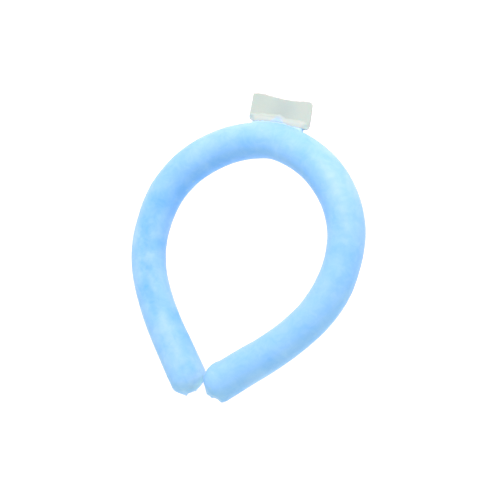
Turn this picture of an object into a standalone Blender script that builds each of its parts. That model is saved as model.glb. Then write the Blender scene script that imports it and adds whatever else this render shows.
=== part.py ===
"""Cooling neck ring: a soft film tube full of coolant gel, bent to a drop-shaped ring that opens in front.

The ring lies flat. +Z is up, +Y runs from the two ends in front to the sealing tab behind, and +X is to the
right when the tab is seen at the top. All lengths are in metres. The origin is under the middle of the whole
object, on the surface that the ring lies on.
"""

import math

import bmesh
import bpy
from mathutils import Vector
from mathutils.geometry import interpolate_bezier

# The ring, outside
RING_WIDTH = 0.156  # across the ring where it is widest
RING_LENGTH = 0.1758  # from the tips of the arms to the back of the tube, before the arms are staggered
TUBE_DIAMETER = 0.0225

# The film and what it holds
FILM_WALL = 0.001
GEL_CLEARANCE = 0.0003  # between the film and the gel

# The arms' closed ends in front
ARM_DEGREES = 46.5  # between an arm's end and the ring's long axis
END_DEPTH = 0.0101  # how far the rounded end reaches past the straight tube
END_GAP = 0.0004  # between the two ends
END_STAGGER = 0.0028  # how much further the left arm reaches than the right one

# The flared neck behind, through which the ring was filled
NECK_WIDTH = 0.0356
TONGUE_THICKNESS = 0.0016  # of the gel in the neck, at the mouth
NECK_REACH = 0.0005  # from the back of the tube to the neck's mouth

# The sealing tab that closes the neck
SEAM_GAP = 0.0003  # between the neck's mouth and the tab
TAB_WIDTH = 0.0417
TAB_HEIGHT = 0.0163
TAB_THICKNESS = 0.0016
TAB_LEAN = 0.0019  # how far the tab's top edge stands to the left of its root
TAB_DIP = 0.0022  # how far the top edge dips in the middle
TAB_CORNER = 0.0018
WELD_HEIGHT = 0.0026  # of the thick band along the root, below the slope where it thins
WELD_THICKNESS = 0.0032

# Facets
SIDES = 16  # around the tube, with one flat side down and one flat side out
NECK_STEPS = 8
ARM_STEPS = 26
END_STEPS = 6
TAB_COLUMNS = 14

# The centreline of the right half, from the back to the start of the arm's straight end.
# across: share of half the centreline's width. along: share of its length, from the back.
# girth: share of TUBE_DIAMETER.
CENTRELINE = (
    # across, along, girth
    (0.000, 0.000, 1.01),
    (0.235, 0.017, 1.02),
    (0.457, 0.055, 1.03),
    (0.658, 0.114, 1.04),
    (0.826, 0.190, 1.03),
    (0.940, 0.278, 1.02),
    (0.987, 0.355, 1.01),
    (1.000, 0.434, 1.00),
    (0.986, 0.512, 1.00),
    (0.938, 0.588, 0.99),
    (0.852, 0.666, 0.97),
    (0.697, 0.762, 0.96),
    (0.545, 0.837, 0.97),
    (0.380, 0.907, 0.99),
)
END_GIRTH = 1.02  # share of TUBE_DIAMETER where an arm's rounded end starts

# The gathers that the weld left in the rounded ends.
# side: -1 the left arm, +1 the right one. turn: degrees round the arm, from the ring's outside over the top.
# climb: 0 where the rounded end starts, 1 at its tip. lift and reach: shares of TUBE_DIAMETER.
GATHERS = (
    # side, turn, climb, lift, reach
    (-1, -60, 0.69, -0.075, 0.17),
    (-1, -137, 0.60, -0.075, 0.17),
    (-1, -30, 0.45, 0.030, 0.16),
    (-1, -98, 0.75, 0.020, 0.12),
    (1, 14, 0.48, -0.080, 0.17),
    (1, 8, 0.10, 0.040, 0.16),
    (1, 95, 0.70, -0.040, 0.17),
    (1, -120, 0.65, -0.045, 0.18),
)

UP = Vector((0, 0, 1))


def outward_of(heading):
    """The level direction out of the ring, for a heading that runs from the left arm to the right one."""
    return UP.cross(heading).normalized()


def end_heading(side):
    """The way an arm points at its end, away from the back of the ring."""
    angle = math.radians(ARM_DEGREES)
    return Vector((-side * math.sin(angle), -math.cos(angle), 0))


def end_reach(direction):
    """How far a rounded end reaches from its centre along a level direction of the right arm."""
    along = END_DEPTH * direction.dot(end_heading(1))
    across = TUBE_DIAMETER / 2 * END_GIRTH * direction.cross(end_heading(1)).length
    return math.hypot(along, across)


def centreline_knots(side):
    """(point, radius) down one half of the centreline, with the back of the ring at y = 0."""
    half_width = (RING_WIDTH - TUBE_DIAMETER) / 2
    front = Vector((0, -1, 0))
    length = RING_LENGTH - TUBE_DIAMETER / 2 * CENTRELINE[0][2] - end_reach(front)
    knots = []
    for across, along, girth in CENTRELINE:
        point = Vector((side * across * half_width, -along * length, 0))
        knots.append((point, TUBE_DIAMETER / 2 * girth))
    meeting = end_reach(Vector((-1, 0, 0))) + END_GAP / 2
    end = Vector((side * meeting, -length, 0)) - end_heading(side) * side * END_STAGGER / 2
    knots.append((end, TUBE_DIAMETER / 2 * END_GIRTH))
    return knots


def smooth_path(side, steps=12):
    """Close (distance from the back, point, radius) on a smooth curve through the knots of one half."""
    knots = centreline_knots(side)
    points = [point for point, radius in knots]
    headings = [Vector((side, 0, 0))]
    for before, after in zip(points, points[2:]):
        headings.append((after - before).normalized())
    headings.append(end_heading(side))
    path = [(0.0, points[0], knots[0][1])]
    for i in range(len(points) - 1):
        chord = (points[i + 1] - points[i]).length
        handle_a = points[i] + headings[i] * chord / 3
        handle_b = points[i + 1] - headings[i + 1] * chord / 3
        curve = interpolate_bezier(points[i], handle_a, handle_b, points[i + 1], steps + 1)
        for j in range(1, steps + 1):
            share = j / steps
            radius = knots[i][1] * (1 - share) + knots[i + 1][1] * share
            distance = path[-1][0] + (curve[j] - path[-1][1]).length
            path.append((distance, curve[j], radius))
    return path


PATHS = {side: smooth_path(side) for side in (-1, 1)}


def back_radius():
    return PATHS[1][0][2]


def mouth_y():
    """Where the neck's mouth is, behind the centreline's back at y = 0."""
    return back_radius() + NECK_REACH


def station(distance):
    """(point, outward, radius) on the centreline, at a distance from the back: negative on the left arm."""
    side = -1 if distance < 0 else 1
    path = PATHS[side]
    for before, after in zip(path, path[1:]):
        if after[0] >= abs(distance):
            break
    share = (abs(distance) - before[0]) / (after[0] - before[0])
    point = before[1].lerp(after[1], share)
    radius = before[2] * (1 - share) + after[2] * share
    heading = (after[1] - before[1]) * side
    if abs(distance) < 1e-9:
        heading = Vector((1, 0, 0))
    return point, outward_of(heading), radius


def section(point, outward, height, radius):
    """The corners of one flat-sided section of the tube: its first side faces out and another faces down.

    height is that of the centreline above the surface, and radius reaches to the flat of a side.
    """
    half_side = math.pi / SIDES
    corner = radius / math.cos(half_side)
    centre = point + UP * height
    corners = []
    for k in range(SIDES):
        angle = (2 * k - 1) * half_side
        corners.append(centre + outward * corner * math.cos(angle) + UP * corner * math.sin(angle))
    return corners


def gathered(side, forward, outward, centre, place):
    """How far the gathers push a place on the rounded end of one arm."""
    push = Vector()
    for row_side, turn, climb, lift, reach in GATHERS:
        if row_side != side:
            continue
        slope = climb * math.pi / 2
        around = outward * math.cos(math.radians(turn)) + UP * math.sin(math.radians(turn))
        radius = TUBE_DIAMETER / 2 * END_GIRTH
        peak = centre + forward * END_DEPTH * math.sin(slope) + around * radius * math.cos(slope)
        normal = forward * math.sin(slope) + around * math.cos(slope)
        nearness = math.exp(-(((place - peak).length / (reach * TUBE_DIAMETER)) ** 2))
        push += normal * lift * TUBE_DIAMETER * nearness
    return push


def rounded_end(side, inset):
    """The sections of one arm's rounded end, from the straight tube to the tip, and the tip itself."""
    _, base, radius = PATHS[side][-1]
    forward = end_heading(side)
    outward = outward_of(forward * side)
    centre = base + UP * radius
    rings = []
    for step in range(1, END_STEPS + 1):
        slope = step / END_STEPS * math.pi / 2
        tip = step == END_STEPS
        film_point = base + forward * END_DEPTH * math.sin(slope)
        film = section(film_point, outward, radius, radius * math.cos(slope))
        skin_point = base + forward * (END_DEPTH - inset) * math.sin(slope)
        skin = section(skin_point, outward, radius, (radius - inset) * math.cos(slope))
        if tip:
            film, skin = [film[0]], [skin_point + UP * radius]
        for place, corner in zip(film, skin):
            corner += gathered(side, forward, outward, centre, place)
        rings.append(skin)
    return rings


def neck_edge(inset):
    """How far from the back, along the centreline, the side of the neck meets the tube."""
    low, high = 0.0, PATHS[1][-1][0] / 2
    for _ in range(40):
        middle = (low + high) / 2
        point, outward, radius = station(middle)
        if point.x + outward.x * (radius - inset) < NECK_WIDTH / 2 - inset:
            low = middle
        else:
            high = middle
    return low


def even_steps(start, end, count):
    return [start + (end - start) * i / count for i in range(count + 1)]


def add_faces_between(bm, ring_a, ring_b, skip_first_side):
    for k in range(1 if skip_first_side else 0, SIDES):
        following = (k + 1) % SIDES
        bm.faces.new((ring_a[k], ring_a[following], ring_b[following], ring_b[k]))


def add_skin(bm, inset):
    """Adds the tube's skin, moved in by inset, with its neck open. Returns the mouth's corners in pairs."""
    edge = neck_edge(inset)
    neck = even_steps(-edge, edge, NECK_STEPS)
    left_arm = even_steps(-PATHS[-1][-1][0], -edge, ARM_STEPS)[:-1]
    right_arm = even_steps(edge, PATHS[1][-1][0], ARM_STEPS)[1:]
    tube = []
    for distance in left_arm + neck + right_arm:
        point, outward, radius = station(distance)
        tube.append(section(point, outward, radius, radius - inset))
    left_end, right_end = rounded_end(-1, inset), rounded_end(1, inset)
    sections = left_end[-2::-1] + tube + right_end[:-1]
    rings = [[bm.verts.new(corner) for corner in ring] for ring in sections]
    first_neck = END_STEPS - 1 + ARM_STEPS
    for i in range(len(rings) - 1):
        in_neck = first_neck <= i < first_neck + NECK_STEPS
        add_faces_between(bm, rings[i], rings[i + 1], in_neck)
    for ring, tip in ((rings[0], left_end[-1][0]), (rings[-1], right_end[-1][0])):
        apex = bm.verts.new(tip)
        for k in range(SIDES):
            bm.faces.new((ring[k], ring[(k + 1) % SIDES], apex))
    return add_neck(bm, inset, rings[first_neck : first_neck + NECK_STEPS + 1])


def add_neck(bm, inset, neck_rings):
    """Draws the open side of the tube out to the neck's mouth."""
    height = back_radius()
    half_width = NECK_WIDTH / 2 - inset
    half_thickness = TONGUE_THICKNESS / 2 + FILM_WALL + GEL_CLEARANCE - inset
    mouth = []
    for x in even_steps(-half_width, half_width, NECK_STEPS):
        lower = bm.verts.new((x, mouth_y(), height - half_thickness))
        upper = bm.verts.new((x, mouth_y(), height + half_thickness))
        mouth.append((lower, upper))
    for i in range(NECK_STEPS):
        for k in (0, 1):
            bm.faces.new((neck_rings[i][k], neck_rings[i + 1][k], mouth[i + 1][k], mouth[i][k]))
    for i in (0, NECK_STEPS):
        bm.faces.new((neck_rings[i][0], neck_rings[i][1], mouth[i][1], mouth[i][0]))
    return mouth


def close_mouth(bm, mouth):
    for a, b in zip(mouth, mouth[1:]):
        bm.faces.new((a[0], b[0], b[1], a[1]))


def rim_between(bm, outer, inner):
    """Joins the film's outer and inner skins round the neck's mouth."""
    for i in range(NECK_STEPS):
        for k in (0, 1):
            bm.faces.new((outer[i][k], outer[i + 1][k], inner[i + 1][k], inner[i][k]))
    for i in (0, NECK_STEPS):
        bm.faces.new((outer[i][0], outer[i][1], inner[i][1], inner[i][0]))


def finish_object(name, bm, material, parent):
    bmesh.ops.recalc_face_normals(bm, faces=bm.faces)
    mesh = bpy.data.meshes.new(name)
    bm.to_mesh(mesh)
    bm.free()
    mesh.shade_smooth()
    mesh.set_sharp_from_angle(angle=math.radians(40))
    mesh.materials.append(material)
    piece = bpy.data.objects.new(name, mesh)
    piece.parent = parent
    bpy.context.scene.collection.objects.link(piece)
    return piece


def finish(name, color, roughness, alpha=1.0):
    """A plain material: no piece of this object is metal."""
    material = bpy.data.materials.new(name)
    material.use_nodes = True
    shader = material.node_tree.nodes["Principled BSDF"]
    shader.inputs["Base Color"].default_value = (*color, 1)
    shader.inputs["Roughness"].default_value = roughness
    shader.inputs["Metallic"].default_value = 0
    shader.inputs["Alpha"].default_value = alpha
    return material


def make_film_sleeve(parent):
    bm = bmesh.new()
    outer = add_skin(bm, 0.0)
    inner = add_skin(bm, FILM_WALL)
    rim_between(bm, outer, inner)
    return finish_object("film_sleeve", bm, finish("satin_film", (0.38, 0.70, 0.96), 0.42), parent)


def make_coolant_gel(parent):
    bm = bmesh.new()
    mouth = add_skin(bm, FILM_WALL + GEL_CLEARANCE)
    close_mouth(bm, mouth)
    return finish_object("coolant_gel", bm, finish("milky_gel", (0.28, 0.62, 0.95), 0.55), parent)


def weld_slope():
    """The height over which the weld band thins to the tab."""
    return (WELD_THICKNESS - TAB_THICKNESS) / 2


def tab_rows():
    """(height, side inset, half thickness) of the tab's rows, from its root to its top edge."""
    radius = min(TAB_CORNER, 0.9 * WELD_HEIGHT)
    corner = []
    for turn in (0, 35, 90):
        angle = math.radians(turn)
        corner.append((radius * (1 - math.cos(angle)), radius * (1 - math.sin(angle))))
    rows = [(height, inset, WELD_THICKNESS / 2) for height, inset in corner]
    rows.append((WELD_HEIGHT, 0.0, WELD_THICKNESS / 2))
    rows.append((WELD_HEIGHT + weld_slope(), 0.0, TAB_THICKNESS / 2))
    rows += [(TAB_HEIGHT - height, inset, TAB_THICKNESS / 2) for height, inset in reversed(corner)]
    return rows


def make_sealing_tab(parent):
    """A flat flap whose origin is the middle of its root, with a thicker weld band there."""
    bm = bmesh.new()
    rows = tab_rows()
    plan = []
    for height, inset, half_thickness in rows:
        lean = TAB_LEAN * (0.5 - height / TAB_HEIGHT)
        weld_top = WELD_HEIGHT + weld_slope()
        past_weld = max(0.0, height - weld_top) / (TAB_HEIGHT - weld_top)
        row = []
        for i in range(TAB_COLUMNS + 1):
            share = i / TAB_COLUMNS
            x = lean + (share - 0.5) * (TAB_WIDTH - 2 * inset)
            y = height - TAB_DIP * past_weld * math.sin(math.pi * share) ** 2
            row.append([bm.verts.new((x, y, z)) for z in (-half_thickness, half_thickness)])
        plan.append(row)
    for low, high in zip(plan, plan[1:]):
        for i in range(TAB_COLUMNS):
            for k in (0, 1):
                bm.faces.new((low[i][k], low[i + 1][k], high[i + 1][k], high[i][k]))
        for i in (0, TAB_COLUMNS):
            bm.faces.new((low[i][0], low[i][1], high[i][1], high[i][0]))
    for row in (plan[0], plan[-1]):
        for i in range(TAB_COLUMNS):
            bm.faces.new((row[i][0], row[i + 1][0], row[i + 1][1], row[i][1]))
    tab = finish_object("sealing_tab", bm, finish("clear_film", (0.66, 0.74, 0.70), 0.35, 0.85), parent)
    tab.location = (0, mouth_y() + SEAM_GAP, back_radius())
    return tab


def centre_on_origin(ring, pieces):
    """Moves the parent so that the origin lies under the middle of the whole object."""
    bpy.context.view_layer.update()
    corners = [piece.matrix_world @ vertex.co for piece in pieces for vertex in piece.data.vertices]
    for axis in (0, 1):
        values = [corner[axis] for corner in corners]
        ring.location[axis] = -(min(values) + max(values)) / 2


def main():
    for item in list(bpy.data.objects):
        bpy.data.objects.remove(item)
    ring = bpy.data.objects.new("neck_ring", None)
    bpy.context.scene.collection.objects.link(ring)
    pieces = [make_film_sleeve(ring), make_coolant_gel(ring), make_sealing_tab(ring)]
    centre_on_origin(ring, pieces)


main()
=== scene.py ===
# %% [markdown]
# A cooling neck ring is a soft film tube, filled with a milky blue gel and bent to a drop-shaped ring. It
# is put round the neck through the gap between its two ends. Behind, a short neck and a clear flap show
# where the tube was filled and welded shut. This lesson dresses the plain solids of that ring: the film,
# the gel and the flap. The solids come first, as a fixed frame that says where everything is. Lengths below
# are in metres, and in millimetres only in the tables that say so.

# %% The frame that everything is built round
import math

import bmesh
import bpy
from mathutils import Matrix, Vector, noise
from mathutils.geometry import interpolate_bezier


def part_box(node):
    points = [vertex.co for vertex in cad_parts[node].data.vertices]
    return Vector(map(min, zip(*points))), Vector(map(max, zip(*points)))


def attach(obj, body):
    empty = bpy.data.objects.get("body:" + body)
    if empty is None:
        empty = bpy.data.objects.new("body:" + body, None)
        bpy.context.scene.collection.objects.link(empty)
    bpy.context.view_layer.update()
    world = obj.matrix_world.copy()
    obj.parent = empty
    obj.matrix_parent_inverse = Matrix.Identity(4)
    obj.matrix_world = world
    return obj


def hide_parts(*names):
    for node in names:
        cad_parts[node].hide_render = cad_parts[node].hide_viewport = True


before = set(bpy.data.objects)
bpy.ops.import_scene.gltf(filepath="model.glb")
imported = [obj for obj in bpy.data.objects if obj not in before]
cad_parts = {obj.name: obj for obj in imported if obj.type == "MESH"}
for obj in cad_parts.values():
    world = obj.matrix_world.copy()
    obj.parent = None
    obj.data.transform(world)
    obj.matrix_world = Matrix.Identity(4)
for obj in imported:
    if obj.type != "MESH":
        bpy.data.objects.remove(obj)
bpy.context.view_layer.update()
sleeve_low, sleeve_high = (Vector(corner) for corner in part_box("film_sleeve"))
tab_low, tab_high = (Vector(corner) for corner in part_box("sealing_tab"))

# %% [markdown]
# The picture looks down on the ring at a slant, and the picture's own upright is turned against the ring's.
# A camera could be aimed with a Track To constraint, but that keeps the world's +Z upright. Here the three
# axes of the camera are written down instead, which gives the turn as well.

# %% The camera
AIM = Vector((0.0059, -0.0013, 0.0113))
CAMERA_RIGHT = Vector((0.8662, 0.2790, -0.4145))
CAMERA_UP = Vector((-0.2019, 0.9543, 0.2204))
CAMERA_DISTANCE = 0.6516
SENSOR_WIDTH = 36.0
LENS = 76.5
CLIP_START = 0.01

camera_back = CAMERA_RIGHT.cross(CAMERA_UP).normalized()


def make_camera():
    data = bpy.data.cameras.new("camera")
    data.sensor_width = SENSOR_WIDTH
    data.lens = LENS
    data.clip_start = CLIP_START
    camera = bpy.data.objects.new("camera", data)
    bpy.context.scene.collection.objects.link(camera)
    axes = (CAMERA_RIGHT.normalized(), CAMERA_UP.normalized(), camera_back)
    place = AIM + camera_back * CAMERA_DISTANCE
    for row in range(3):
        camera.matrix_world[row][:] = [axis[row] for axis in axes] + [place[row]]
    bpy.context.scene.camera = camera
    return camera


camera = make_camera()
print("camera stands at", [round(value, 3) for value in camera.matrix_world.translation])

# %% [markdown]
# The ring was photographed on white, so bright that the ground round it is pure white and its shadow is
# gone. A brighter lamp would do that to the floor, but would bleach the ring too. So the floor glows a
# little, like the top of a light table, and the lamp throws no shadow. One broad, rosy lamp above the back
# of the ring gives the soft bright band that runs round it, and an even, faintly blue sky fills the rest.
# The plain Standard view keeps the film's blue clear; AgX, the default, would grey it.

# %% The floor and the light
FLOOR_HALF_SIZE = 3.0
FLOOR_DROP = 0.00005
FLOOR_GLOW = 0.42
SKY_COLOUR = (0.85, 0.985, 1.0)
SKY_STRENGTH = 0.90
KEY_WAY = (-0.15, 0.74, 0.68)
KEY_DISTANCE = 0.95
KEY_SIZE = 0.70
KEY_WATTS = 11.2
KEY_COLOUR = (1.0, 0.59, 0.60)


def make_sky():
    world = bpy.data.worlds.new("studio")
    world.use_nodes = True
    background = world.node_tree.nodes["Background"]
    background.inputs["Color"].default_value = (*SKY_COLOUR, 1)
    background.inputs["Strength"].default_value = SKY_STRENGTH
    bpy.context.scene.world = world


def make_key_light():
    data = bpy.data.lights.new("key_light", "AREA")
    data.shape = "DISK"
    data.size = KEY_SIZE
    data.energy = KEY_WATTS
    data.color = KEY_COLOUR
    data.use_shadow = False
    lamp = bpy.data.objects.new("key_light", data)
    bpy.context.scene.collection.objects.link(lamp)
    towards = (CAMERA_RIGHT * KEY_WAY[0] + CAMERA_UP * KEY_WAY[1] + camera_back * KEY_WAY[2]).normalized()
    lamp.location = AIM + towards * KEY_DISTANCE
    lamp.rotation_euler = towards.to_track_quat("Z", "Y").to_euler()
    return towards


def make_floor():
    mesh = bpy.data.meshes.new("floor")
    reach = FLOOR_HALF_SIZE
    corners = [(-reach, -reach), (reach, -reach), (reach, reach), (-reach, reach)]
    mesh.from_pydata([(x, y, -FLOOR_DROP) for x, y in corners], [], [(0, 1, 2, 3)])
    floor = bpy.data.objects.new("floor", mesh)
    bpy.context.scene.collection.objects.link(floor)
    return floor


bpy.context.scene.view_settings.view_transform = "Standard"
make_sky()
light_towards = make_key_light()
floor = make_floor()
print("the lamp stands", round(math.degrees(math.asin(light_towards.z))), "degrees above the floor")

# %% [markdown]
# The tube follows one line through its middle. It could be a Blender curve with a bevel, its points each
# with a radius, but such a tube has plain flat ends, and no neck grows out of its side. So the line is
# worked out first, from a short table for one half, and the tube is lofted along it: it swells at the
# shoulders, thins down the arms and closes at its ends. The two halves of a soft ring never lie quite
# alike, so a second table says where each one strays, by less than a millimetre. The tube's thickness, the
# ring's width and the place of its back are read from the solids, so that the dressed ring is as large as
# they are.

# %% The line through the middle of the tube
GREATEST_GIRTH = 1.04
TUBE_DIAMETER = (sleeve_high.z - sleeve_low.z) / GREATEST_GIRTH
RING_WIDTH = sleeve_high.x - sleeve_low.x
RING_LENGTH = 0.1758
ARM_DEGREES = 46.5
END_DEPTH = 0.0101
END_GIRTH = 1.02
END_GAP = 0.0004
END_STAGGER = 0.0028
NECK_REACH = 0.0005
PATH_STEPS = 24

CENTRELINE = (
    # share of the half width, share of the length, share of the tube's diameter
    (0.000, 0.000, 1.01),
    (0.235, 0.017, 1.02),
    (0.457, 0.055, 1.03),
    (0.658, 0.114, 1.04),
    (0.826, 0.190, 1.03),
    (0.940, 0.278, 1.02),
    (0.987, 0.355, 1.01),
    (1.000, 0.434, 1.00),
    (0.986, 0.512, 1.00),
    (0.938, 0.588, 0.99),
    (0.852, 0.666, 0.97),
    (0.697, 0.762, 0.96),
    (0.545, 0.837, 0.97),
    (0.380, 0.907, 1.00),
)
TRIMS = (
    # side, share of the length, reach along it, shift in x and in y in mm, change in girth
    (-1, 1.00, 0.22, -0.55, -0.30, 0.0),
    (-1, 0.82, 0.10, 0.15, 0.00, 0.015),
    (-1, 0.46, 0.12, 0.05, 0.00, -0.022),
    (1, 1.00, 0.22, -0.10, 0.40, 0.0),
    (1, 0.12, 0.08, 0.15, 0.12, 0.010),
    (1, 0.42, 0.08, 0.00, 0.00, -0.018),
    (1, 0.62, 0.08, 0.15, -0.10, 0.0),
)
MM = 0.001
UP = Vector((0, 0, 1))
BACK_RADIUS = TUBE_DIAMETER / 2 * CENTRELINE[0][2]
BACK_Y = sleeve_high.y - NECK_REACH - BACK_RADIUS


def end_heading(side):
    angle = math.radians(ARM_DEGREES)
    return Vector((-side * math.sin(angle), -math.cos(angle), 0))


def end_reach(direction):
    along = END_DEPTH * direction.dot(end_heading(1))
    across = TUBE_DIAMETER / 2 * END_GIRTH * direction.cross(end_heading(1)).length
    return math.hypot(along, across)


def trim(side, along):
    shift, more = Vector(), 0.0
    for row_side, place, reach, x, y, girth in TRIMS:
        near = math.exp(-(((along - place) / reach) ** 2)) if row_side == side else 0.0
        shift += Vector((x, y, 0)) * MM * near
        more += girth * near
    return shift, more


def centreline_knots(side):
    half_width = (RING_WIDTH - TUBE_DIAMETER) / 2
    length = RING_LENGTH - BACK_RADIUS - end_reach(Vector((0, -1, 0)))
    knots = []
    for across, along, girth in CENTRELINE:
        shift, more = trim(side, along)
        point = Vector((side * across * half_width, BACK_Y - along * length, 0)) + shift
        knots.append((point, TUBE_DIAMETER / 2 * (girth + more)))
    meeting = end_reach(Vector((-1, 0, 0))) + END_GAP / 2
    end = Vector((side * meeting, BACK_Y - length, 0)) - end_heading(side) * side * END_STAGGER / 2
    end += trim(side, 1.0)[0]
    knots.append((end, TUBE_DIAMETER / 2 * END_GIRTH))
    return knots


def smooth_path(side):
    knots = centreline_knots(side)
    points = [point for point, radius in knots]
    headings = [Vector((side, 0, 0))]
    for before, after in zip(points, points[2:]):
        headings.append((after - before).normalized())
    headings.append(end_heading(side))
    path = [(0.0, points[0], knots[0][1])]
    for i in range(len(points) - 1):
        chord = (points[i + 1] - points[i]).length
        handle_a = points[i] + headings[i] * chord / 3
        handle_b = points[i + 1] - headings[i + 1] * chord / 3
        curve = interpolate_bezier(points[i], handle_a, handle_b, points[i + 1], PATH_STEPS + 1)
        for j in range(1, PATH_STEPS + 1):
            share = j / PATH_STEPS
            eased = share * share * (3 - 2 * share)
            radius = knots[i][1] * (1 - eased) + knots[i + 1][1] * eased
            path.append((path[-1][0] + (curve[j] - path[-1][1]).length, curve[j], radius))
    return path


PATHS = {side: smooth_path(side) for side in (-1, 1)}
print("line through the tube:", round(PATHS[-1][-1][0] + PATHS[1][-1][0], 4), "m")

# %% [markdown]
# A station is one place along that line: where it is, which way is out of the ring, and how thick the tube
# is there. Headings are blended between neighbouring points, so that light runs smoothly along the fine
# tube.

# %% Stations along the line
def path_heading(path, i, side):
    before, after = path[max(i - 1, 0)][1], path[min(i + 1, len(path) - 1)][1]
    return (after - before).normalized() * side


def station(distance):
    side = -1 if distance < 0 else 1
    path = PATHS[side]
    i = 1
    while i < len(path) - 1 and path[i][0] < abs(distance):
        i += 1
    share = (abs(distance) - path[i - 1][0]) / (path[i][0] - path[i - 1][0])
    point = path[i - 1][1].lerp(path[i][1], share)
    radius = path[i - 1][2] * (1 - share) + path[i][2] * share
    first, second = path_heading(path, i - 1, side), path_heading(path, i, side)
    if i == 1:
        first = Vector((1, 0, 0))
    heading = first.lerp(second, share)
    return point, UP.cross(heading).normalized(), radius


def even_steps(start, end, count):
    return [start + (end - start) * i / count for i in range(count + 1)]


print("half way down the right arm:", [round(value, 4) for value in station(0.1)[0]])

# %% [markdown]
# The film is not a perfect tube. The gel pushes it out a little here and there, and it keeps soft pleats
# where the ends were gathered and welded. Sculpting by hand would do it, but a rule gives the same surface
# every time: wide low waves from Blender's noise, and a short table of pleats, each pushed in or out round
# one spot of an end.

# %% Waves in the film, and pleats at its ends
WAVES = (
    # size and height, in metres
    (0.021, 0.00016),
    (0.0075, 0.00007),
)
GATHERS = (
    # side, degrees round the tube, climb to the tip (0 to 1), lift and reach as shares of the diameter
    # broad pleats, which the solids have too
    (-1, -60, 0.69, -0.075, 0.17),
    (-1, -137, 0.60, -0.075, 0.17),
    (-1, -30, 0.45, 0.030, 0.16),
    (-1, -98, 0.75, 0.020, 0.12),
    (1, 14, 0.48, -0.080, 0.17),
    (1, 8, 0.10, 0.040, 0.16),
    (1, 95, 0.70, -0.040, 0.17),
    (1, -120, 0.65, -0.045, 0.18),
    # sharp pleats, which only the dressed film has
    (-1, -37, 0.63, -0.065, 0.045),
    (-1, -46, 0.65, -0.060, 0.050),
    (-1, -23, 0.57, 0.040, 0.060),
    (-1, 6, 0.16, 0.018, 0.120),
    (-1, -74, 0.71, 0.045, 0.055),
    (-1, -126, 0.56, -0.090, 0.110),
    (-1, -112, 0.66, -0.080, 0.090),
    (-1, 30, 0.62, -0.018, 0.070),
    (-1, 100, 0.70, -0.020, 0.080),
    (1, -2, 0.53, -0.040, 0.060),
    (1, -12, 0.34, 0.052, 0.110),
    (1, 22, 0.74, -0.022, 0.070),
    (1, 62, 0.80, 0.014, 0.120),
    (1, 30, 0.72, 0.036, 0.120),
    (1, 6, 0.62, 0.040, 0.080),
    (1, 150, 0.30, -0.030, 0.090),
    (1, -70, 0.60, -0.024, 0.080),
)


def waved(place):
    return sum(noise.noise(place / size) * height for size, height in WAVES)


def gathered(side, forward, outward, centre, place):
    push = Vector()
    radius = TUBE_DIAMETER / 2 * END_GIRTH
    for row_side, turn, climb, lift, reach in GATHERS:
        if row_side != side:
            continue
        slope = climb * math.pi / 2
        around = outward * math.cos(math.radians(turn)) + UP * math.sin(math.radians(turn))
        peak = centre + forward * END_DEPTH * math.sin(slope) + around * radius * math.cos(slope)
        normal = forward * math.sin(slope) + around * math.cos(slope)
        nearness = math.exp(-(((place - peak).length / (reach * TUBE_DIAMETER)) ** 2))
        push += normal * lift * TUBE_DIAMETER * nearness
    return push


print(len(GATHERS), "pleats at the ends")

# %% [markdown]
# Handling leaves small marks in soft film: a crease where it was folded, a pinch on the inside of a bend.
# Each mark is one line of a table: a spot, the way the mark runs, how long and wide it is, and how far it
# lifts or sinks. They could be drawn as bump in the finish, but then they would vanish in the outline, so
# they move the mesh itself. The same table tells the finish where the film is a little greyer.

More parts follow.
